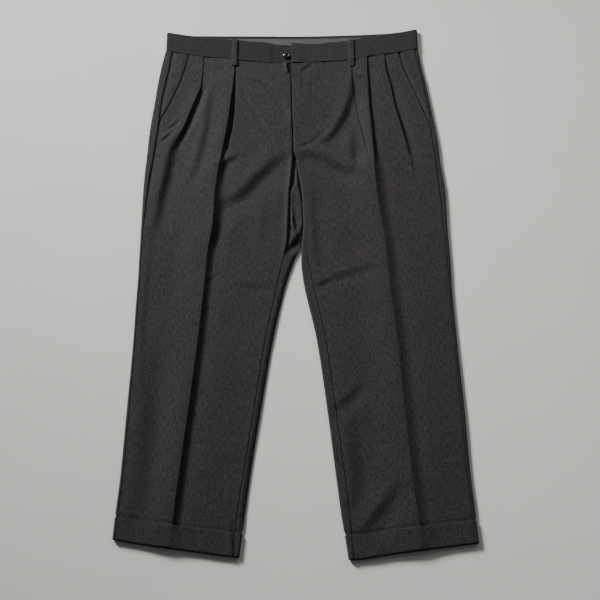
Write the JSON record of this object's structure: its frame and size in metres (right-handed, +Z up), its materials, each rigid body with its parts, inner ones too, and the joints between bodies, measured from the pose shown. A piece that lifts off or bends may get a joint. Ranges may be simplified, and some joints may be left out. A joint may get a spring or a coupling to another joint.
{
  "type": "pleated dress trousers",
  "caption": "Charcoal wool dress trousers with pleats, slanted pockets, belt loops and turned-up cuffs, laid flat on their back.",
  "frame": {"origin": "middle of the underside, which rests on a surface", "axes": "+X towards the wearer's left leg, +Y from the hems to the waist, +Z up out of the front of the trousers"},
  "size_m": [0.6038, 1.0538, 0.013],
  "materials": {
    "wool": "matte melange wool",
    "lining": "matte cotton twill",
    "button": "polished dark horn look"
  },
  "bodies": {
    "root": {"front_right": "wool", "front_left": "wool", "back_right": "wool", "back_left": "wool", "pocket_facing_right": "wool", "pocket_facing_left": "wool", "waistband_right": "wool", "waistband_left": "wool", "waistband_lining": "lining", "belt_loop_right": "wool", "belt_loop_left": "wool", "cuff_right": "wool", "cuff_left": "wool", "button": "button"}
  },
  "joints": []
}
